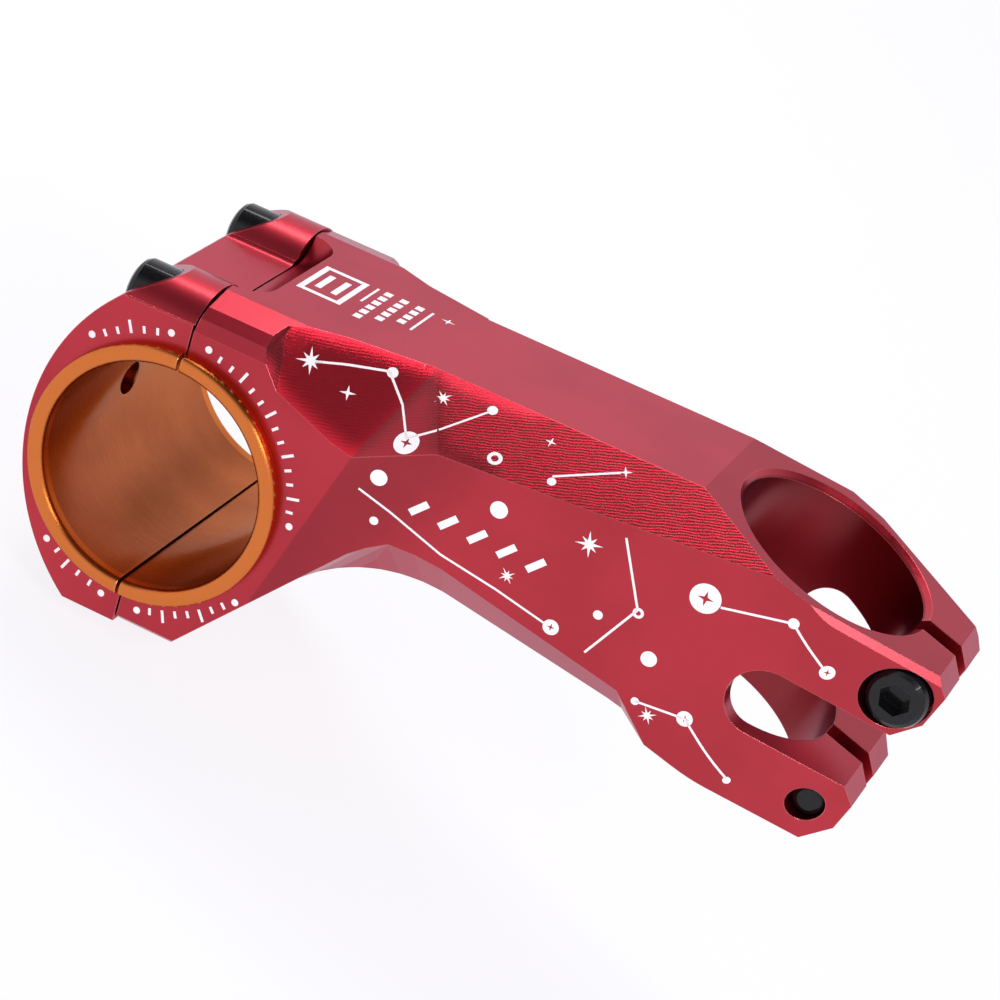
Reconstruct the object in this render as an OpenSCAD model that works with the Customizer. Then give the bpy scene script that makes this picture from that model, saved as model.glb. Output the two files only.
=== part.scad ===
/* [Extension] */
// Distance from the steerer axis to the bar axis, along the extension
extension_length = 79; // [76:1:82]
// Drop of the extension below square to the steerer
drop_angle = 17; // [15:1:18]
// Height of the flat top face above the extension's centreline
top_height = 26.3; // [26:0.1:27]
// Height of the bar axis above the extension's centreline
bar_rise = 0.8; // [0.4:0.1:1]

/* [Bar clamp] */
// Diameter of the handlebar that the shim holds
bar_diameter = 31.8; // [31.6:0.1:31.8]
// Outside diameter of the shim, which is the bore of the bar clamp
shim_diameter = 35; // [35:0.1:35.2]
// Half-width of the bar clamp between its side faces
clamp_half_width = 22.5; // [22:0.1:23.5]
// Wall from the bar axis to the front of the faceplate
front_reach = 19.6; // [19.4:0.1:20.4]
// Gap between the faceplate and the body
split_gap = 0.3; // [0.2:0.05:0.5]
// Outside diameter of the shim's end flange
flange_diameter = 36.6; // [36:0.1:37.4]
// Thickness of the shim's end flange
flange_thickness = 2; // [1.5:0.1:2.2]

/* [Steerer clamp] */
// Diameter of the fork steerer
steerer_diameter = 28.6; // [28.6:0.1:28.8]
// Top face of the steerer clamp above the crossing of the axes
steerer_top = 22; // [21.8:0.1:22.4]
// Bottom face of the steerer clamp below the crossing of the axes
steerer_bottom = 9; // [8.8:0.1:9.4]
// Outside radius of the steerer clamp
steerer_wall_radius = 16.9; // [16.7:0.1:17.4]
// Width of the slot between the near and far ears
slot_width = 3.4; // [3:0.1:3.6]

/* [Bolts] */
// Thread diameter of all the bolts
bolt_diameter = 5; // [5:0.05:5.05]
// Diameter of a bolt's round head
head_diameter = 8.5; // [8.3:0.1:8.6]
// Width across the flats of the hex socket
socket_across_flats = 4; // [3.8:0.1:4.2]
// Length of a faceplate bolt under its head
face_bolt_length = 14; // [12:0.5:14.5]
// Length of a steerer clamp bolt under its head
clamp_bolt_length = 16; // [15:0.5:16]

/* [Hidden] */
$fn = 96;

// Frame: origin where the steerer axis crosses the extension's centreline, +Z up the steerer,
// +X forward to the bar and +Y to the rider's left. Inside on_extension() the X axis runs along
// the extension and the Z axis stands square to its top face.

big = 120;
clearance = 0.05;
left = 1;
right = -1;

// Bar clamp
bar_radius = bar_diameter / 2;
shim_radius = shim_diameter / 2;
flange_radius = flange_diameter / 2;
body_split = extension_length - split_gap / 2;
plate_split = extension_length + split_gap / 2;
shim_gap = 0.5;
flange_round = 0.9;
locating_hole = 5;
plate_shoulder = 23;
side_top = 22.3;
side_bottom = 21.2;
underside_depth = 22.3;
lobe_height = 26.5;
lobe_top_radius = 8.85;
lobe_foot_round = 1.5;
lobe_radius = 5.1;
lobe_front = 5.5;
scoop_radius = 5;
scoop_half_length = 8.4;

// Faceplate bolts, measured from the bar axis
face_bolt_y = 15;
face_bolt_height = 20.7;
seat_advance = 6.6;
washer_thickness = 0.6;
spot_radius = 4.35;
head_height = 5;
thread_end = 66.8;

// Steerer clamp
steerer_radius = steerer_diameter / 2;
bore_chamfer = 0.8;
clamp_bolt_x = -17.8;
clamp_bolt_z = 6.2;
clamp_bolt_rise = 10.2;
clamp_seat = 5.9;
counterbore_radius = 4.6;
ear_corner = [-20.3, 9.8];
rear_x = -22.7;
rear_half_width = 8.8;
window_half_height = 5;
window_front = -0.4;

// Round front of the faceplate, drawn in the extension's frame
front_radius = 30.5;
front_centre = [extension_length + front_reach - front_radius, 1.5];
lower_lobe_corner = [extension_length + 10.4, -20.3];
lobe_slope = 0.655;

// Plan outline: the side faces run from the bar clamp to the round steerer clamp
taper_x = 55.5;
neck_side = [47.5, 21];
front_x = 100;

// Underside of the neck, as points in the extension's frame
neck_heel = [13.2, -5.4];
arch_corner = [50.4, 0.4];
arch_tail = [74, -27.3];
arch_radius = 24;
neck_start = 5;

// Milled facets on the left side, each as three points in the main frame
neck_facet = [[17.6, 10.6, 22], [55, 10.6, 10.7], [37, 18.6, 11]];
flare_tail = [[54, 22.5, 0], [46.7, 21.6, 6], [55, 10.6, 10.7]];
neck_facet_end = 51;
belly_head = [[3.5, 17, -9], [8, 14, -9], [11.5, 18.2, -4.2]];
ear_bevel = [[-2, 16.75, 22], [-20.3, 9, 22], [-20.3, 9.8, 21]];

// Hollow end of the milled pocket beside the bar clamp, in the extension's frame
flare_facets = [[[69, 16.3, top_height], [69.4, 21.6, 24.3], [65.8, 22.5, 19.5]],
                [[69, 16.3, top_height], [61, 13, top_height], [64.5, 22.5, 18.9]],
                [[61, 13, top_height], [49.5, 10.6, top_height], [59, 22.5, 16.4]]];

// Chamfer under the neck: full width along the heel, running out to nothing at the bar clamp
belly_edge = 14;
belly_width = 7;
belly_steps = 8;

// Relief bore inside the neck, open to the bar clamp
relief_radius = 10.5;
relief_height = 11.5;
relief_start = 22;
relief_end = 63;

function unit(v) = v / norm(v);
// Point where a line from p touches a circle of radius r about the origin, on the side given by turn
function touch_point(r, p, turn) =
    let (angle = atan2(p.y, p.x) + turn * acos(r / norm(p))) r * [cos(angle), sin(angle)];
function flipped(points) = [for (i = [len(points) - 1:-1:0]) [points[i].x, -points[i].y]];

module on_extension() {
    rotate([0, drop_angle, 0]) children();
}

// Same directions as the extension, with the origin on the bar axis
module at_bar() {
    on_extension() translate([extension_length, 0, bar_rise]) children();
}

module shim_bore() {
    at_bar() rotate([90, 0, 0]) cylinder(r = shim_radius, h = big, center = true);
}

// Extrudes a side outline, drawn as X and Z, to both sides of the middle plane
module across(half_width) {
    rotate([90, 0, 0]) linear_extrude(2 * half_width, center = true) children();
}

// Extrudes a cross-section, drawn as Y and Z, from one X to another
module along(from, to) {
    translate([from, 0, 0]) rotate([90, 0, 90]) linear_extrude(to - from) children();
}

// Everything on the outer side of the plane through three points
module beyond(points) {
    normal = unit(cross(points[1] - points[0], points[2] - points[0]));
    outward = normal.y < 0 ? -normal : normal;
    translate(points[0]) rotate([0, acos(outward.z), atan2(outward.y, outward.x)])
        translate([-big, -big, 0]) cube([2 * big, 2 * big, big]);
}

module both_sides() {
    children();
    mirror([0, 1, 0]) children();
}

// Material that rounds the inner corner b between the lines from a and to c
module inner_round(a, b, c, r) {
    half = acos(unit(a - b) * unit(c - b)) / 2;
    reach = r / tan(half);
    into_air = unit(unit(a - b) + unit(c - b));
    difference() {
        polygon([b - into_air * r / 4, b + unit(a - b) * reach, b + unit(c - b) * reach]);
        translate(b + into_air * r / sin(half)) circle(r);
    }
}

module plan_outline() {
    front_touch = touch_point(steerer_wall_radius, neck_side, 1);
    rear_touch = touch_point(steerer_wall_radius, ear_corner, -1);
    edge = [[front_x, clamp_half_width], [taper_x, clamp_half_width], neck_side, front_touch, rear_touch,
            ear_corner, [rear_x, rear_half_width]];
    polygon(concat(edge, flipped(edge)));
    circle(steerer_wall_radius);
}

module neck_outline() {
    polygon([[body_split, top_height], [neck_start, top_height], [neck_start, neck_heel.y], neck_heel,
             arch_corner, arch_tail, [body_split, arch_tail.y]]);
    inner_round(neck_heel, arch_corner, arch_tail, arch_radius);
}

module clamp_section() {
    edge = [[0, top_height], [face_bolt_y, top_height], [19.6, top_height - 1.2], [21.4, top_height - 2.3],
            [clamp_half_width, side_top], [clamp_half_width, -side_bottom],
            [clamp_half_width - 1.5, -underside_depth], [0, -underside_depth]];
    polygon(edge);
    mirror([1, 0]) polygon(edge);
}

module lower_lobes(from, to) {
    both_sides() translate([from, face_bolt_y, bar_rise - face_bolt_height]) rotate([0, 90, 0])
        cylinder(r = lobe_radius, h = to - from);
}

module neck_and_bar_clamp() {
    intersection() {
        translate([0, 0, -big]) linear_extrude(big + steerer_top) plan_outline();
        on_extension() intersection() {
            across(clamp_half_width + 1) neck_outline();
            union() {
                along(neck_start, body_split) clamp_section();
                lower_lobes(neck_start, body_split);
            }
        }
    }
}

module steerer_clamp() {
    intersection() {
        translate([0, 0, -big / 2]) linear_extrude(big) plan_outline();
        across(clamp_half_width) polygon([
            [17.7, steerer_top], [ear_corner.x, steerer_top], [rear_x, steerer_top - 2.2],
            [rear_x, -steerer_bottom + 3.8], [ear_corner.x + 0.3, -steerer_bottom], [11, -steerer_bottom]]);
    }
}

module window_outline() {
    translate([window_front - window_half_height, clamp_bolt_z]) circle(window_half_height);
    translate([-40, clamp_bolt_z - window_half_height])
        square([40 + window_front - window_half_height, 2 * window_half_height]);
    polygon([[ear_corner.x, clamp_bolt_z + window_half_height],
             [ear_corner.x, clamp_bolt_z - window_half_height],
             [rear_x - 1, clamp_bolt_z - window_half_height - 3.1],
             [rear_x - 1, clamp_bolt_z + window_half_height + 5.1]]);
}

// Hole along Y at a clamp bolt, from one Y to another
module cross_hole(height, from, to, r) {
    translate([clamp_bolt_x, to, height]) rotate([90, 0, 0]) cylinder(r = r, h = to - from);
}

// Everything outside the chamfer that follows the straight heel, the arch and the bar clamp's end
module belly_chamfer() {
    heel_side = arch_corner - neck_heel;
    tail_side = arch_tail - arch_corner;
    heel_angle = atan2(heel_side.y, heel_side.x) + 90;
    tail_angle = atan2(tail_side.y, tail_side.x) + 90;
    half = (heel_angle - tail_angle) / 2;
    middle = heel_angle - half;
    centre = arch_corner - arch_radius / cos(half) * [cos(middle), sin(middle)];
    intersection_for(step = [0:belly_steps]) {
        turn = heel_angle - 2 * half * step / belly_steps;
        square_out = [cos(turn), 0, sin(turn)];
        start = [centre.x, belly_edge, centre.y] + arch_radius * square_out;
        rise = min(belly_width, 0.8 + (turn - tail_angle) * 0.21);
        beyond([start, start + [-sin(turn), 0, cos(turn)], start + [0, belly_width, 0] + rise * square_out]);
    }
}

module facet_cuts() {
    intersection() {
        beyond(neck_facet);
        on_extension() translate([-big, -big, -big]) cube([big + neck_facet_end, 2 * big, 2 * big]);
    }
    intersection() {
        on_extension() intersection_for(facet = flare_facets) beyond(facet);
        beyond(flare_tail);
    }
    intersection() {
        on_extension() belly_chamfer();
        beyond(belly_head);
    }
    beyond(ear_bevel);
}

module scoop() {
    on_extension() translate([plate_split, 0, plate_shoulder + scoop_radius]) {
        rotate([90, 0, 0]) cylinder(r = scoop_radius, h = 2 * scoop_half_length, center = true);
        both_sides() translate([0, scoop_half_length, 0]) sphere(scoop_radius);
    }
}

module stem_body() color("firebrick") difference() {
    union() {
        neck_and_bar_clamp();
        steerer_clamp();
    }
    both_sides() facet_cuts();
    scoop();
    shim_bore();
    on_extension() {
        for (side = [left, right], level = [1, -1])
            translate([thread_end, side * face_bolt_y, bar_rise + level * face_bolt_height])
                rotate([0, 90, 0]) cylinder(r = bolt_diameter / 2 + clearance, h = big);
        translate([relief_start, 0, relief_height]) rotate([0, 90, 0])
            cylinder(r = relief_radius, h = relief_end - relief_start);
    }
    translate([0, 0, -big / 2]) cylinder(r = steerer_radius, h = big);
    translate([0, 0, steerer_top - bore_chamfer])
        cylinder(r1 = steerer_radius, r2 = steerer_radius + 2 * bore_chamfer, h = 2 * bore_chamfer);
    translate([-big, -slot_width / 2, -big / 2]) cube([big, slot_width, big]);
    across(clamp_half_width) window_outline();
    for (level = [1, -1]) {
        height = clamp_bolt_z + level * clamp_bolt_rise;
        cross_hole(height, -big, big, bolt_diameter / 2 + clearance);
        mirror([0, level == 1 ? 0 : 1, 0]) cross_hole(height, clamp_seat, big, counterbore_radius);
    }
}

module front_round() {
    translate(front_centre) circle(front_radius, $fn = 180);
}

// Side outline of the faceplate without its lobes, in the extension's frame
module plate_outline() {
    intersection() {
        front_round();
        translate([plate_split, -underside_depth])
            square([front_reach + 1, underside_depth + plate_shoulder]);
    }
}

module lobe_outline() {
    lobe_tip = extension_length + lobe_front;
    slope_end = 16;
    intersection() {
        front_round();
        polygon([[plate_split, 0], [plate_split, lobe_height], [lobe_tip, lobe_height],
                 [lobe_tip + slope_end, lobe_height - lobe_slope * slope_end], [lobe_tip + slope_end, 0]]);
    }
    polygon([[plate_split, 1], [extension_length + 15, 1], lower_lobe_corner,
             [lobe_tip, -lobe_height], [plate_split, -lobe_height]]);
}

module upper_lobe_section() {
    centre = [face_bolt_y, lobe_height - lobe_top_radius];
    drop = plate_shoulder - centre.y;
    inward = sqrt(lobe_top_radius * lobe_top_radius - drop * drop);
    foot = centre + [-inward, drop];
    translate(centre) circle(lobe_top_radius);
    inner_round(foot + [drop, inward], foot, [0, plate_shoulder], lobe_foot_round);
}

module plate_solid() on_extension() difference() {
    union() {
        across(clamp_half_width) plate_outline();
        intersection() {
            across(clamp_half_width) lobe_outline();
            union() {
                both_sides() along(plate_split, 100) upper_lobe_section();
                lower_lobes(plate_split, 100);
            }
        }
    }
    translate([plate_split - big, -big / 2, -big / 2]) cube(big);
    for (side = [left, right], level = [1, -1])
        translate([extension_length, side * face_bolt_y, bar_rise + level * face_bolt_height])
            rotate([0, 90, 0]) {
                cylinder(r = bolt_diameter / 2 + clearance, h = big);
                translate([0, 0, seat_advance]) cylinder(r = spot_radius, h = big);
            }
}

module faceplate() color("firebrick") difference() {
    plate_solid();
    shim_bore();
}

// Wall of the shim with its two end flanges, drawn as radius and height along the bar
module shim_profile() {
    end = clamp_half_width + flange_thickness;
    inner_corner = [bar_radius + flange_round, end - flange_round];
    outer_corner = [flange_radius - flange_round, end - flange_round];
    edge = concat([for (a = [180:-22.5:90]) inner_corner + flange_round * [cos(a), sin(a)]],
                  [for (a = [90:-22.5:0]) outer_corner + flange_round * [cos(a), sin(a)]],
                  [[flange_radius, clamp_half_width], [shim_radius, clamp_half_width]]);
    polygon(concat(edge, flipped(edge)));
}

module half_shim(side) {
    at_bar() difference() {
        rotate([90, 0, 0]) rotate_extrude() shim_profile();
        translate([side == 1 ? shim_gap / 2 - big : -shim_gap / 2, -big / 2, -big / 2]) cube(big);
    }
}

module rear_shim() color("darkorange") half_shim(-1);

module front_shim() color("darkorange") difference() {
    half_shim(1);
    at_bar() rotate([0, 90, 0]) cylinder(d = locating_hole, h = big);
}

// Socket head bolt with its head above the origin and its shank below
module bolt(shank_length) {
    head_radius = head_diameter / 2;
    shank_radius = bolt_diameter / 2;
    difference() {
        rotate_extrude() polygon([
            [0, -shank_length], [shank_radius - 1, -shank_length], [shank_radius - 0.3, -shank_length + 0.4],
            [shank_radius, -shank_length + 1], [shank_radius, 0], [head_radius, 0],
            [head_radius, head_height - 1],
            [head_radius - 0.3, head_height - 0.4], [head_radius - 0.9, head_height], [0, head_height]]);
        translate([0, 0, head_height - 2.6])
            cylinder(d = socket_across_flats / cos(30), h = big, $fn = 6);
    }
}

module washer() {
    difference() {
        cylinder(d = head_diameter, h = washer_thickness);
        translate([0, 0, -1]) cylinder(r = bolt_diameter / 2 + clearance, h = big);
    }
}

module at_face_seat(side, level) {
    at_bar() translate([seat_advance, side * face_bolt_y, level * face_bolt_height])
        rotate([0, 90, 0]) children();
}

module at_clamp_seat(level) {
    translate([clamp_bolt_x, level * clamp_seat, clamp_bolt_z + level * clamp_bolt_rise])
        rotate([-90 * level, 0, 0]) children();
}

module face_bolt(side, level) color("dimgray")
    at_face_seat(side, level) translate([0, 0, washer_thickness]) bolt(face_bolt_length);

module face_washer(side, level) color("dimgray") at_face_seat(side, level) washer();

module clamp_bolt(level) color("dimgray")
    at_clamp_seat(level) translate([0, 0, washer_thickness]) bolt(clamp_bolt_length);

module clamp_washer(level) color("dimgray") at_clamp_seat(level) washer();

stem_body();
faceplate();
rear_shim();
front_shim();
face_bolt(left, 1);  // face_bolt_upper_left
face_bolt(right, 1);  // face_bolt_upper_right
face_bolt(left, -1);  // face_bolt_lower_left
face_bolt(right, -1);  // face_bolt_lower_right
face_washer(left, 1);  // face_washer_upper_left
face_washer(right, 1);  // face_washer_upper_right
face_washer(left, -1);  // face_washer_lower_left
face_washer(right, -1);  // face_washer_lower_right
clamp_bolt(1);  // clamp_bolt_upper
clamp_bolt(-1);  // clamp_bolt_lower
clamp_washer(1);  // clamp_washer_upper
clamp_washer(-1);  // clamp_washer_lower
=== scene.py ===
import math

import bpy
from mathutils import Matrix, Vector
from mathutils.bvhtree import BVHTree


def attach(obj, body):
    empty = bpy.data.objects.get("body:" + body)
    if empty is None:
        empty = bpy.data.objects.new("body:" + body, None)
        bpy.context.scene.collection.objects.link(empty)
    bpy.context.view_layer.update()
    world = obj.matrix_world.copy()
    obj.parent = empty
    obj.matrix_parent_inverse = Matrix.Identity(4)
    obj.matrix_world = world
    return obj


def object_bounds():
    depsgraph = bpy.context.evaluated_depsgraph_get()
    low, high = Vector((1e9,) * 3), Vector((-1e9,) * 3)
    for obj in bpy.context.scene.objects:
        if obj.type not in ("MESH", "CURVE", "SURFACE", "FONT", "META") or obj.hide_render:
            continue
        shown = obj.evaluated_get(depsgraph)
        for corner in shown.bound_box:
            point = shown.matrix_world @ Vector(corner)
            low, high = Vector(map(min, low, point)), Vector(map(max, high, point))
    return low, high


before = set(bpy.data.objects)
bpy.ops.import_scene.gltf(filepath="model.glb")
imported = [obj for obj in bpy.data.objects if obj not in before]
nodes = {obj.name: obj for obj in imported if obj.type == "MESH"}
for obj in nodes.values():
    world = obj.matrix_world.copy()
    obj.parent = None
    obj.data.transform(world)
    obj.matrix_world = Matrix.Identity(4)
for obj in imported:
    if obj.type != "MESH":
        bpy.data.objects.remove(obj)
cad_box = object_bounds()
scene = bpy.context.scene

MM = 0.001

# The extension drops by this angle on its way to the bar; its lengths are in millimetres
DROP = math.radians(17)
EXTENSION = 79
BAR_RISE = 0.8
FORWARD = Vector((math.cos(DROP), 0, -math.sin(DROP)))
SQUARE = Vector((math.sin(DROP), 0, math.cos(DROP)))
SIDE = Vector((0, 1, 0))
BAR_CENTRE = (EXTENSION * FORWARD + BAR_RISE * SQUARE) * MM


# ---------- camera ----------

SENSOR_WIDTH = 36
CAMERA_LENS = 123.2
CAMERA_PLACE = Vector((-3.742, 402.081, 216.796)) * MM
CAMERA_LOOK = Vector((0.0932, -0.8725, -0.4796)).normalized()
CAMERA_UP = Vector((0.6375, -0.3178, 0.7019))


def add_camera():
    data = bpy.data.cameras.new("camera")
    data.sensor_width = SENSOR_WIDTH
    data.lens = CAMERA_LENS
    camera = bpy.data.objects.new("camera", data)
    scene.collection.objects.link(camera)
    right = CAMERA_LOOK.cross(CAMERA_UP).normalized()
    up = right.cross(CAMERA_LOOK)
    turn = Matrix((right, up, -CAMERA_LOOK)).transposed()
    camera.matrix_world = Matrix.Translation(CAMERA_PLACE) @ turn.to_4x4()
    scene.camera = camera


add_camera()


# ---------- node helpers ----------

BEVEL_SAMPLES = 6
NEARLY_FLAT = 0.995


class Graph:
    """A material's node tree, with short calls for the nodes used here."""

    def __init__(self, name):
        self.material = bpy.data.materials.new(name)
        self.material.use_nodes = True
        self.tree = self.material.node_tree
        self.shader = self.tree.nodes["Principled BSDF"]
        self.coords = self.tree.nodes.new("ShaderNodeTexCoord")

    def node(self, kind, inputs=None, **settings):
        made = self.tree.nodes.new(kind)
        for key, value in settings.items():
            setattr(made, key, value)
        for key, value in (inputs or {}).items():
            self.feed(made.inputs[key], value)
        return made

    def feed(self, socket, value):
        if isinstance(value, bpy.types.NodeSocket):
            self.tree.links.new(value, socket)
        else:
            socket.default_value = value

    def math(self, operation, a, b=0.0):
        return self.node("ShaderNodeMath", {0: a, 1: b}, operation=operation).outputs[0]

    def span(self, value, low, high, to_low=0.0, to_high=1.0):
        """Value from low to high, mapped smoothly to to_low to to_high."""
        inputs = {"Value": value, "From Min": low, "From Max": high, "To Min": to_low, "To Max": to_high}
        made = self.node("ShaderNodeMapRange", inputs, interpolation_type="SMOOTHSTEP")
        return made.outputs["Result"]

    def blend(self, share, a, b):
        """Colour a turned into colour b by share."""
        made = self.node("ShaderNodeMix", data_type="RGBA")
        self.feed(made.inputs["Factor"], share)
        self.feed(made.inputs["A"], a)
        self.feed(made.inputs["B"], b)
        return made.outputs["Result"]

    def mix_vector(self, share, a, b):
        """Direction a turned into direction b by share."""
        made = self.node("ShaderNodeMix", data_type="VECTOR")
        self.feed(made.inputs["Factor"], share)
        for name, value in (("A", a), ("B", b)):
            self.feed([s for s in made.inputs if s.name == name and s.type == "VECTOR"][0], value)
        mixed = [s for s in made.outputs if s.type == "VECTOR"][0]
        return self.node("ShaderNodeVectorMath", {0: mixed}, operation="NORMALIZE").outputs["Vector"]

    def scaled(self, scale):
        """Object coordinates in millimetres, scaled along each axis."""
        made = self.node("ShaderNodeMapping", {"Vector": self.coords.outputs["Object"]})
        made.inputs["Scale"].default_value = [s / MM for s in scale]
        return made.outputs["Vector"]

    def noise(self, vector, scale, detail=3.0, roughness=0.5):
        inputs = {"Vector": vector, "Scale": scale, "Detail": detail, "Roughness": roughness}
        return self.node("ShaderNodeTexNoise", inputs).outputs["Fac"]

    def folded(self, source):
        """A vector of the texture coordinates with both sides of the middle plane laid together."""
        axes = self.node("ShaderNodeSeparateXYZ", {0: self.coords.outputs[source]}).outputs
        inputs = {0: axes[0], 1: self.math("ABSOLUTE", axes[1]), 2: axes[2]}
        return self.node("ShaderNodeCombineXYZ", inputs).outputs[0]

    def along(self, vector, direction):
        """How far a vector reaches along a direction."""
        made = self.node("ShaderNodeVectorMath", {0: vector, 1: direction}, operation="DOT_PRODUCT")
        return made.outputs["Value"]

    def facing(self, direction, low, high):
        """0 to 1 as the surface turns towards direction, alike on both sides of the middle plane."""
        return self.span(self.along(self.folded("Normal"), direction), low, high)

    def bump(self, height, depth, strength, normal=None):
        """A normal raised by height times depth in metres, over another normal if there is one."""
        inputs = {"Height": height, "Distance": depth, "Strength": strength}
        if normal is not None:
            inputs["Normal"] = normal
        return self.node("ShaderNodeBump", inputs).outputs["Normal"]

    def edge(self, radius, reach):
        """Rounded normal, and a mask that is 1 along the edges."""
        bevel = self.node("ShaderNodeBevel", {"Radius": radius}, samples=BEVEL_SAMPLES)
        rounded = bevel.outputs["Normal"]
        true = self.node("ShaderNodeNewGeometry").outputs["Normal"]
        return rounded, self.span(self.along(rounded, true), reach, NEARLY_FLAT, 1.0, 0.0)


def set_shader(shader, **values):
    """Sets the shader's own sockets, with an underscore for each space in a socket's name."""
    for key, value in values.items():
        shader.inputs[key.replace("_", " ")].default_value = value


# ---------- materials ----------

# Three points on each milled facet of the pocket, in millimetres, on the left side
NECK_FACET = [Vector(p) for p in ((17.6, 10.6, 22), (55, 10.6, 10.7), (37, 18.6, 11))]
FLARE_TAIL = [Vector(p) for p in ((54, 22.5, 0), (46.7, 21.6, 6), (55, 10.6, 10.7))]
FLARE_FACETS = [[FORWARD * u + SIDE * y + SQUARE * v for u, y, v in points] for points in (
    ((69, 16.3, 26.3), (69.4, 21.6, 24.3), (65.8, 22.5, 19.5)),
    ((69, 16.3, 26.3), (61, 13, 26.3), (64.5, 22.5, 18.9)),
    ((61, 13, 26.3), (49.5, 10.6, 26.3), (59, 22.5, 16.4)))]
RIDGE_LINE = Vector((-0.826, -0.328, 0.460))
HOLLOW_NORMAL = Vector((-0.16, 0.987, 0))

# How closely a face points along a normal before it counts as that face
SAME_FACET = (0.985, 0.995)
SAME_HOLLOW = (0.975, 0.99)

# Spans over which the red surface changes: metres along the body, but millimetres for the bore's radius
LOBES_BEGIN = (0.0725, 0.0732)
HOLLOW_END = (0.038, 0.046)
SHADE_GROWS = (0.034, 0.0554)
SHADE_STOPS = (0.0554, 0.0557)
BORE_SHADE = (14.35, 14.6)

# Metres out from the middle plane at which the shim's flange begins
FLANGE_BEGINS = (0.0223, 0.0225)

# Each edge's rounding radius in metres, and the cosine between the rounded and the true normal
# below which the surface counts fully as an edge
CRISP_EDGE = (0.00022, 0.80)
FLOWING_EDGE = (0.0042, 0.80)
ORANGE_EDGE = (0.00045, 0.75)
BLACK_EDGE = (0.0002, 0.80)

RED_DEEP = (0.43, 0.016, 0.032, 1)
RED_CLEAR = (0.49, 0.021, 0.039, 1)
RED_GROOVE_SHADE = (0.20, 0.005, 0.012, 1)
RED_PALE = (0.95, 0.030, 0.060, 1)
RED_SHADE = (0.16, 0.003, 0.010, 1)
RED_BORE_PAINTED_SHADE = (0.17, 0.002, 0.007, 1)
RED_EDGE_HIGHLIGHT = (0.95, 0.26, 0.27, 1)
ORANGE_DEEP = (0.36, 0.085, 0.025, 1)
ORANGE_CLEAR = (0.44, 0.110, 0.035, 1)
ORANGE_FLANGE_LIT = (0.64, 0.165, 0.030, 1)
ORANGE_EDGE_HIGHLIGHT = (1.0, 0.50, 0.16, 1)
BLACK_DEEP = (0.002, 0.002, 0.003, 1)
BLACK_CLEAR = (0.006, 0.006, 0.008, 1)
BLACK_EDGE_HIGHLIGHT = (0.04, 0.04, 0.045, 1)
INK_THIN = (0.86, 0.82, 0.86, 1)
INK_FULL = (0.95, 0.93, 0.96, 1)


def facet_normal(points):
    """The normal of the plane through three points, turned to the left side."""
    normal = (points[1] - points[0]).cross(points[2] - points[0]).normalized()
    return normal if normal.y > 0 else -normal


def any_facet(g, facets):
    """1 on any of the facets given by three points each."""
    found = 0.0
    for facet in facets:
        found = g.math("MAXIMUM", found, g.facing(facet_normal(facet), *SAME_FACET))
    return found


def cutter_ridges(g, position):
    """Ball-mill scallops: close wavy ridges that run slantwise over the neck facets."""
    neck_normal = facet_normal(NECK_FACET)
    ridge = (RIDGE_LINE - neck_normal * RIDGE_LINE.dot(neck_normal)).normalized()
    across = g.math("MULTIPLY", g.along(position, neck_normal.cross(ridge)), 1 / MM)
    down = g.math("MULTIPLY", g.along(position, ridge), 1 / MM)
    flat = g.node("ShaderNodeCombineXYZ", {0: across, 1: down}).outputs[0]
    waves = {"Vector": flat, "Scale": 0.70, "Distortion": 4.5, "Detail": 2.0, "Detail Scale": 0.7}
    return g.node("ShaderNodeTexWave", waves, wave_type="BANDS", bands_direction="X").outputs["Fac"]


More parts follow.
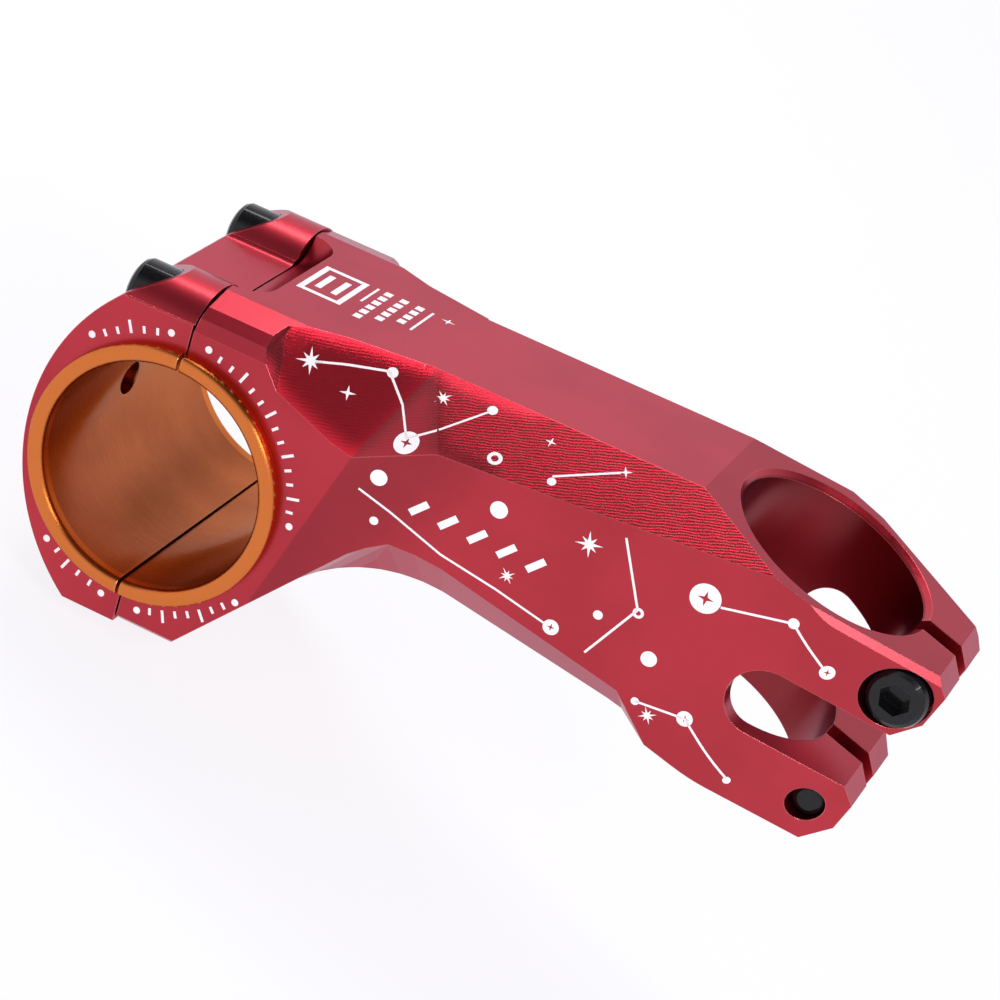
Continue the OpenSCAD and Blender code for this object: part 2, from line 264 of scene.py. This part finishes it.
def red_anodised():
    g = Graph("red_anodised")
    set_shader(g.shader, Metallic=1.0, Specular_Tint=(0.62, 0.45, 0.56, 1),
               Coat_Weight=0.6, Coat_Roughness=0.24, Coat_IOR=1.5)
    position = g.folded("Object")
    forward = g.along(position, (1, 0, 0))
    pocket = any_facet(g, [NECK_FACET, FLARE_TAIL] + FLARE_FACETS)
    milled = g.math("MULTIPLY", pocket, g.span(forward, *LOBES_BEGIN, 1.0, 0.0))
    crisp, edges = g.edge(*CRISP_EDGE)
    # The cutter leaves the facets at the pocket's hollow end flowing into each other
    flowing, _ = g.edge(*FLOWING_EDGE)
    hollow_end = g.math("MULTIPLY", milled, g.span(forward, *HOLLOW_END))
    rounded = g.mix_vector(hollow_end, crisp, flowing)

    ridges = cutter_ridges(g, position)
    # Straight cutter lines on the other faces, and the grain left by etching
    lines = g.noise(g.scaled((0.25, 6.0, 0.25)), scale=1.0, detail=2.0)
    millimetres = g.scaled((1, 1, 1))
    grain = g.noise(millimetres, scale=9.0, detail=2.0, roughness=0.7)
    calm = g.math("SUBTRACT", 1.0, milled)
    surface = g.bump(g.math("MULTIPLY", ridges, milled), depth=0.00004, strength=0.30, normal=rounded)
    surface = g.bump(g.math("MULTIPLY", lines, calm), depth=0.00001, strength=0.30, normal=surface)
    surface = g.bump(grain, depth=0.000012, strength=0.25, normal=surface)
    g.feed(g.shader.inputs["Normal"], surface)

    mottle = g.noise(millimetres, scale=0.06)
    colour = g.blend(g.span(mottle, 0.35, 0.65), RED_DEEP, RED_CLEAR)
    # Painted shade: the milled pocket is coloured darker, most in the cutter's grooves
    groove_shade = g.math("MULTIPLY", g.span(ridges, 0.2, 0.85, 0.30, 0.08), milled)
    colour = g.blend(groove_shade, colour, RED_GROOVE_SHADE)
    # The facets at the pocket's hollow end are coloured a little lighter
    pale = g.math("MULTIPLY", any_facet(g, FLARE_FACETS[1:]), milled)
    colour = g.blend(g.math("MULTIPLY", pale, 0.6), colour, RED_PALE)
    # The hollow where the neck's side meets the bar clamp is shaded
    shade = g.math("MULTIPLY", g.span(forward, *SHADE_GROWS, 0.0, 0.45),
                   g.facing(HOLLOW_NORMAL, *SAME_HOLLOW))
    shade = g.math("MULTIPLY", shade, g.span(forward, *SHADE_STOPS, 1.0, 0.0))
    colour = g.blend(shade, colour, RED_SHADE)
    # Painted shade: the colour is darkest inside the steerer bore, where shade falls
    radius = g.node("ShaderNodeVectorMath", {0: g.scaled((1, 1, 0))}, operation="LENGTH").outputs["Value"]
    colour = g.blend(g.span(radius, *BORE_SHADE, 0.75, 0.0), colour, RED_BORE_PAINTED_SHADE)
    # Painted highlight: the colour is lighter along the rounded edges
    colour = g.blend(g.math("MULTIPLY", edges, 0.7), colour, RED_EDGE_HIGHLIGHT)
    g.feed(g.shader.inputs["Base Color"], colour)
    rough = g.span(grain, 0.3, 0.7, 0.30, 0.38)
    g.feed(g.shader.inputs["Roughness"], g.math("SUBTRACT", rough, g.math("MULTIPLY", edges, 0.1)))
    return g.material


def orange_anodised():
    g = Graph("orange_anodised")
    set_shader(g.shader, Metallic=1.0, Specular_Tint=(0.80, 0.50, 0.30, 1),
               Coat_Weight=0.4, Coat_Roughness=0.15, Coat_IOR=1.45)
    rounded, edges = g.edge(*ORANGE_EDGE)
    millimetres = g.scaled((1, 1, 1))
    turned = g.noise(g.scaled((0.3, 7.0, 0.3)), scale=1.0, detail=2.0)
    grain = g.noise(millimetres, scale=8.0, detail=2.0, roughness=0.7)
    surface = g.bump(turned, depth=0.000012, strength=0.4, normal=rounded)
    surface = g.bump(grain, depth=0.00001, strength=0.3, normal=surface)
    g.feed(g.shader.inputs["Normal"], surface)
    mottle = g.noise(millimetres, scale=0.08)
    colour = g.blend(g.span(mottle, 0.35, 0.65), ORANGE_DEEP, ORANGE_CLEAR)
    # The end flanges, which stand out past the clamp, are polished smoother, and painted light: they are
    # coloured lighter than the shaded inside of the shim
    flange = g.span(g.along(g.folded("Object"), SIDE), *FLANGE_BEGINS)
    colour = g.blend(flange, colour, ORANGE_FLANGE_LIT)
    # Painted highlight: the colour is lighter along the rounded edges
    colour = g.blend(g.math("MULTIPLY", edges, 0.5), colour, ORANGE_EDGE_HIGHLIGHT)
    g.feed(g.shader.inputs["Base Color"], colour)
    rough = g.span(turned, 0.3, 0.7, 0.26, 0.36)
    g.feed(g.shader.inputs["Roughness"], g.math("SUBTRACT", rough, g.math("MULTIPLY", flange, 0.07)))
    return g.material


def black_steel():
    g = Graph("black_steel")
    set_shader(g.shader, Metallic=0.0, Coat_Weight=0.45, Coat_Roughness=0.05, Coat_IOR=1.5,
               Specular_IOR_Level=0.12)
    rounded, edges = g.edge(*BLACK_EDGE)
    grain = g.noise(g.scaled((1, 1, 1)), scale=3.5, roughness=0.6)
    surface = g.bump(grain, depth=0.00002, strength=0.5, normal=rounded)
    g.feed(g.shader.inputs["Normal"], surface)
    colour = g.blend(g.span(grain, 0.3, 0.7), BLACK_DEEP, BLACK_CLEAR)
    # Painted highlight: the colour is lighter along the rounded edges
    colour = g.blend(g.math("MULTIPLY", edges, 0.35), colour, BLACK_EDGE_HIGHLIGHT)
    g.feed(g.shader.inputs["Base Color"], colour)
    g.feed(g.shader.inputs["Roughness"], g.span(grain, 0.3, 0.7, 0.22, 0.34))
    return g.material


def white_ink():
    g = Graph("white_ink")
    # Painted light: the ink glows faintly, though it is no lamp
    set_shader(g.shader, Metallic=0.0, Emission_Color=(1, 0.98, 1, 1), Emission_Strength=0.14)
    grain = g.noise(g.scaled((1, 1, 1)), scale=5.0, roughness=0.7)
    g.feed(g.shader.inputs["Base Color"], g.blend(g.span(grain, 0.3, 0.7), INK_THIN, INK_FULL))
    g.feed(g.shader.inputs["Roughness"], g.span(grain, 0.3, 0.7, 0.45, 0.6))
    g.feed(g.shader.inputs["Normal"], g.bump(grain, depth=0.00001, strength=0.3))
    return g.material


red = red_anodised()
orange = orange_anodised()
black = black_steel()
ink = white_ink()


def dress(node, material):
    mesh = nodes[node].data
    mesh.materials.clear()
    mesh.materials.append(material)


for node_name in nodes:
    if "shim" in node_name:
        dress(node_name, orange)
    elif "bolt" in node_name or "washer" in node_name:
        dress(node_name, black)
    else:
        dress(node_name, red)


# ---------- printed marks ----------

# A mark's mesh stands this far out of the surface and reaches this far into it
INK_ABOVE = 0.03 * MM
INK_BELOW = 0.03 * MM

# Marks are dropped onto the surface from this far outside it
RAY_START = 60 * MM

# Shapes of the marks: lengths in millimetres, the rest shares of a mark's radius
ROUND_STEPS = 40
PINHOLE = 0.02
STAR_WAIST = 0.3
SPARK_WAIST = 0.25
SHORT_POINT = 0.72
BADGE_TIP = 0.55
BADGE_WAIST = 0.16
LINE_STEP = 0.6
LINE_WIDTH = 0.34
FINE_WIDTH = 0.32
FRAME_WIDTH = 0.3

# The slanted bars on each side face, at x and z in millimetres
BAR_COUNT = 5
BAR_WIDTH = 1.0
BAR_FIRST = (45.4, -1.6)
BAR_PITCH = (-4.1, 0.95)
BAR_FOOT = (0, -1.1)
BAR_HEAD = (-1.3, 1.5)


def circle(radius):
    steps = [2 * math.pi * i / ROUND_STEPS for i in range(ROUND_STEPS)]
    return [(radius * math.cos(t), radius * math.sin(t)) for t in steps]


def star_outline(sizes):
    """A star with its corners at the given radii, one after another round it."""
    points = len(sizes) // 2
    steps = [math.pi * i / points for i in range(len(sizes))]
    return [(s * math.cos(t), s * math.sin(t)) for s, t in zip(sizes, steps)]


def surface_of(node):
    mesh = nodes[node].data
    mesh.calc_loop_triangles()
    return BVHTree.FromPolygons([v.co.copy() for v in mesh.vertices],
                                [tuple(t.vertices) for t in mesh.loop_triangles])


class Printer:
    """Lays flat marks on one node's surface and keeps them as one closed, very thin mesh."""

    def __init__(self, node):
        self.surface = surface_of(node)
        self.vertices = []
        self.faces = []

    def touch(self, start, direction):
        place, normal, _, _ = self.surface.ray_cast(start, direction)
        if place is None:
            raise ValueError(f"a printed mark misses the surface from {start}")
        return place, normal

    def lay(self, point):
        """Adds a vertex just above and one just below the surface nearest to a point."""
        hit, face, _, _ = self.surface.find_nearest(point)
        self.vertices += [hit + face * INK_ABOVE, hit - face * INK_BELOW]

    def spot(self, at, toward):
        """Place and tangent frame where the line from at along toward first meets the surface."""
        place, normal = self.touch(at - toward * RAY_START, toward)
        across = (FORWARD - normal * FORWARD.dot(normal)).normalized()
        return place, normal, across, normal.cross(across)

    def add(self, spot, loops, turn=0.0):
        """Adds strips between two loops of flat points in millimetres, laid round a spot."""
        place, normal, across, along = spot
        swing = Matrix.Rotation(turn, 3, normal)
        inner, outer = loops
        base = len(self.vertices)
        for loop in (inner, outer):
            for x, y in loop:
                self.lay(place + swing @ (across * x + along * y) * MM)
        count = len(inner)
        for i in range(count):
            j = (i + 1) % count
            a, b = base + 2 * i, base + 2 * j
            c, d = a + 2 * count, b + 2 * count
            self.faces += [(a, c, d, b), (a + 1, b + 1, d + 1, c + 1),
                           (a, b, b + 1, a + 1), (c, c + 1, d + 1, d)]

    def ring(self, spot, radius, hole):
        self.add(spot, [circle(hole), circle(radius)])

    def dot(self, spot, radius):
        self.ring(spot, radius, radius * PINHOLE)

    def star(self, spot, radius, turn=0.0):
        """Eight points, with every second one a little shorter."""
        sizes = [radius, radius * STAR_WAIST, radius * SHORT_POINT, radius * STAR_WAIST] * 4
        self.filled(spot, star_outline(sizes), turn)

    def spark(self, spot, radius, turn=0.0):
        """A thin star with four points."""
        self.filled(spot, star_outline([radius, radius * SPARK_WAIST] * 4), turn)

    def filled(self, spot, outline, turn):
        self.add(spot, [[(PINHOLE * x, PINHOLE * y) for x, y in outline], outline], turn)

    def badge(self, spot, radius):
        """A disc with a four-pointed star left open in it."""
        star = star_outline([radius * BADGE_TIP, radius * BADGE_WAIST] * 4)
        parts = ROUND_STEPS // len(star)
        hole = []
        for (x0, y0), (x1, y1) in zip(star, star[1:] + star[:1]):
            hole += [(x0 + (x1 - x0) * k / parts, y0 + (y1 - y0) * k / parts) for k in range(parts)]
        self.add(spot, [hole, circle(radius)])

    def line(self, start, end, toward, width):
        """A printed line between two points, draped along toward."""
        steps = max(2, int((end - start).length / (LINE_STEP * MM)))
        base = len(self.vertices)
        for i in range(steps + 1):
            at = start + (end - start) * i / steps
            place, normal = self.touch(at - toward * RAY_START, toward)
            sideways = normal.cross(end - start).normalized() * (width / 2 * MM)
            self.lay(place + sideways)
            self.lay(place - sideways)
        for i in range(steps):
            a = base + 4 * i
            b = a + 4
            self.faces += [(a, b, b + 2, a + 2), (a + 1, a + 3, b + 3, b + 1), (a, a + 1, b + 1, b),
                           (a + 2, b + 2, b + 3, a + 3)]
        self.faces += [(base, base + 2, base + 3, base + 1)]
        last = base + 4 * steps
        self.faces += [(last, last + 1, last + 3, last + 2)]

    def finish(self, name, body):
        mesh = bpy.data.meshes.new(name)
        mesh.from_pydata(self.vertices, [], self.faces)
        mesh.materials.append(ink)
        mesh.validate()
        piece = bpy.data.objects.new(name, mesh)
        scene.collection.objects.link(piece)
        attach(piece, body)


def print_side(side, name):
    """The marks on one side, at x and z in millimetres."""
    printer = Printer("stem_body")
    toward = -SIDE * side

    def at(x, z):
        return printer.spot(Vector((x, 0, z)) * MM, toward)

    def line(points, width=LINE_WIDTH):
        for (x0, z0), (x1, z1) in zip(points, points[1:]):
            printer.line(Vector((x0, 0, z0)) * MM, Vector((x1, 0, z1)) * MM, toward, width)

    # Neck facet: a zigzag of joined dots with loose stars round it
    line([(67.5, 3.6), (59.4, 7.4), (51.6, 4.6), (45.8, 11.9)])
    line([(33.8, 12.8), (27.4, 17.4)])
    printer.star(at(68, 3.4), 2.0, 0.4)
    printer.dot(at(59, 7.5), 0.75)
    printer.badge(at(51.2, 4.4), 1.75)
    printer.dot(at(45.6, 12.2), 0.7)
    printer.spark(at(61.6, 3.2), 1.1, 0.3)
    printer.star(at(51.6, 9.6), 1.3, 0.9)
    printer.ring(at(41, 10), 1.0, 0.5)
    printer.spark(at(37, 14.4), 0.8)
    printer.dot(at(33.4, 12.5), 0.6)
    printer.spark(at(27, 17.7), 0.9, 0.5)
    # Side face: a broken frame line, plain slanted bars, discs and stars
    line([(52.5, -4.2), (39.0, -4.9), (30.5, -4.0), (22.9, -3.6)], FRAME_WIDTH)
    for step in range(BAR_COUNT):
        x = BAR_FIRST[0] + BAR_PITCH[0] * step
        z = BAR_FIRST[1] + BAR_PITCH[1] * step
        line([(x + dx, z + dz) for dx, dz in (BAR_FOOT, BAR_HEAD)], BAR_WIDTH)
    printer.badge(at(22, -3.5), 1.1)
    printer.dot(at(51.2, -1.2), 1.15)
    printer.dot(at(36.4, 5.6), 1.2)
    printer.star(at(24.6, 9.6), 1.9, 0.2)
    printer.star(at(30.5, -1.4), 1.2, 0.7)
    printer.dot(at(48.5, -6.9), 0.6)
    printer.dot(at(18.2, 2.2), 0.65)
    line([(21.4, 13.6), (14.6, 6.3), (16.6, -3.4)], FINE_WIDTH)
    printer.ring(at(14.3, 6), 0.75, 0.35)
    printer.badge(at(8.8, 13.6), 2.1)
    line([(6.6, 13.9), (-1.8, 18.4), (-8.2, 15.2)], FINE_WIDTH)
    printer.dot(at(-1.8, 18.4), 0.75)
    printer.badge(at(-9, 14.9), 1.05)
    printer.dot(at(9.6, 1.6), 1.1)
    printer.star(at(5.2, -5.2), 1.3, 0.5)
    line([(7.6, -4.6), (1.2, -2.2), (-7.8, -6.2)], FINE_WIDTH)
    printer.dot(at(7.6, -4.6), 0.55)
    printer.badge(at(1.2, -2.2), 1.1)
    printer.dot(at(-8, -6.4), 0.55)
    printer.finish(name, "stem")


# The frame and dashes on the top, in millimetres forward along the extension and out to the side
ABOVE_TOP = 27
FRAME_ENDS = (72.9, 67.1)
FRAME_HALF = 5
FRAME_SIDES = (-4.6, 4.6)
FRAME_SIDE_SPAN = (72.6, 67.4)
FRAME_LINE = 0.8
FRAME_BARS = (71.2, 68.8)
FRAME_BAR_HALF = 2.6
FRAME_BAR_WIDTH = 0.9
DASH_ROWS = ((63.6, 6), (61.2, 5), (58.8, 4))
DASH_START = -5.2
DASH_PITCH = 2.05
DASH_LENGTH = 1.35
DASH_WIDTH = 1.1
RULES = ((65.3, 1), (56.9, 3))
RULE_WIDTH = 0.35
TOP_SPARK = (54.4, -4.4)


def print_top():
    printer = Printer("stem_body")
    top = SQUARE * ABOVE_TOP * MM

    def at(forward, side):
        return FORWARD * forward * MM + SIDE * side * MM + top

    def line(start, end, width):
        printer.line(at(*start), at(*end), -SQUARE, width)

    # A plain frame with two bars in it, and rows of dashes behind it between two thin rules
    front, back = FRAME_SIDE_SPAN
    for side in FRAME_SIDES:
        line((front, side), (back, side), FRAME_LINE)
    for forward in FRAME_ENDS:
        line((forward, -FRAME_HALF), (forward, FRAME_HALF), FRAME_LINE)
    for forward in FRAME_BARS:
        line((forward, -FRAME_BAR_HALF), (forward, FRAME_BAR_HALF), FRAME_BAR_WIDTH)
    for forward, dashes in DASH_ROWS:
        for step in range(dashes):
            side = DASH_START + DASH_PITCH * step
            line((forward, side), (forward, side + DASH_LENGTH), DASH_WIDTH)
    for forward, end in RULES:
        line((forward, -FRAME_HALF), (forward, end), RULE_WIDTH)
    printer.spark(printer.spot(at(*TOP_SPARK), -SQUARE), 1.0)
    printer.finish("print_top", "stem")


# Ticks round the bar clamp: radii, a width and a dot in millimetres; the spacing and the arcs in degrees
TICK_START = 19.4
SHORT_TICK_END = 20.4
LONG_TICK_END = 21.2
TICK_WIDTH = 0.4
TICK_SPACING = 5.5
END_DOT_PLACE = 20.2
END_DOT = 0.5
BODY_ARCS = ((98, 176), (218, 262))
PLATE_ARCS = ((48, 82), (-82, -52))


def print_clamp(node, side, name, body, arcs):
    """Short radial ticks round the bar clamp's side face, with a dot at the end of each run."""
    printer = Printer(node)

    def at(angle, radius):
        turn = math.radians(angle)
        return BAR_CENTRE + (FORWARD * math.cos(turn) + SQUARE * math.sin(turn)) * radius * MM

    for first, last in arcs:
        count = round((last - first) / TICK_SPACING)
        for step in range(count + 1):
            angle = first + (last - first) * step / count
            reach = LONG_TICK_END if step % 3 == 0 else SHORT_TICK_END
            if step in (0, count):
                printer.dot(printer.spot(at(angle, END_DOT_PLACE), -SIDE * side), END_DOT)
            else:
                printer.line(at(angle, TICK_START), at(angle, reach), -SIDE * side, TICK_WIDTH)
    printer.finish(name, body)


for side, name in ((1, "left"), (-1, "right")):
    print_side(side, "print_" + name)
    print_clamp("stem_body", side, "ticks_body_" + name, "stem", BODY_ARCS)
    print_clamp("faceplate", side, "ticks_plate_" + name, "faceplate", PLATE_ARCS)
print_top()


# ---------- light and floor ----------

# The room fades to its overhead strength between these directions: 0 is level and 1 straight up
FADE_SPAN = (0.45, 0.75)
ROOM_STRENGTH = 1.0
OVERHEAD_STRENGTH = 0.12
ROOM_COLOUR = (0.98, 0.96, 1.0, 1)
FLOOR_HALF = 1.5
FLOOR_GLOW = 0.86
OBJECT_MIDDLE = (0.037, 0, -0.01)


def add_world():
    """A white room: bright all round and below, dim overhead."""
    world = bpy.data.worlds.new("studio")
    scene.world = world
    world.use_nodes = True
    tree = world.node_tree
    background = tree.nodes["Background"]
    direction = tree.nodes.new("ShaderNodeTexCoord").outputs["Generated"]
    height = tree.nodes.new("ShaderNodeSeparateXYZ")
    ramp = tree.nodes.new("ShaderNodeMapRange")
    ramp.interpolation_type = "SMOOTHSTEP"
    tree.links.new(direction, height.inputs[0])
    tree.links.new(height.outputs["Z"], ramp.inputs["Value"])
    ramp.inputs["From Min"].default_value, ramp.inputs["From Max"].default_value = FADE_SPAN
    ramp.inputs["To Min"].default_value = ROOM_STRENGTH
    ramp.inputs["To Max"].default_value = OVERHEAD_STRENGTH
    tree.links.new(ramp.outputs["Result"], background.inputs["Strength"])
    background.inputs["Color"].default_value = ROOM_COLOUR


def add_area(name, place, size, power):
    """A square light that points at the middle of the object."""
    data = bpy.data.lights.new(name, "AREA")
    data.shape = "RECTANGLE"
    data.size = size
    data.size_y = size
    data.energy = power
    lamp = bpy.data.objects.new(name, data)
    scene.collection.objects.link(lamp)
    aim = (Vector(OBJECT_MIDDLE) - Vector(place)).to_track_quat("-Z", "Y")
    lamp.matrix_world = Matrix.Translation(place) @ aim.to_matrix().to_4x4()


def add_floor(height):
    mesh = bpy.data.meshes.new("floor")
    signs = ((-1, -1), (1, -1), (1, 1), (-1, 1))
    corners = [(x * FLOOR_HALF, y * FLOOR_HALF, height) for x, y in signs]
    mesh.from_pydata(corners, [], [(0, 1, 2, 3)])
    floor = bpy.data.objects.new("floor", mesh)
    scene.collection.objects.link(floor)
    g = Graph("floor_white")
    set_shader(g.shader, Roughness=1.0, Specular_IOR_Level=0.0, Emission_Strength=FLOOR_GLOW,
               Emission_Color=(0.98, 0.97, 1.0, 1))
    tone = g.noise(g.coords.outputs["Object"], scale=3.0)
    g.feed(g.shader.inputs["Base Color"], g.blend(tone, (0.17, 0.18, 0.19, 1), (0.18, 0.19, 0.20, 1)))
    mesh.materials.append(g.material)


add_world()
add_area("top_light", place=(0.30, -0.26, 0.55), size=0.30, power=2.0)
add_area("side_light", place=(-0.24, 0.28, 0.34), size=0.16, power=0.7)
add_floor(cad_box[0].z)
scene.view_settings.view_transform = "Standard"
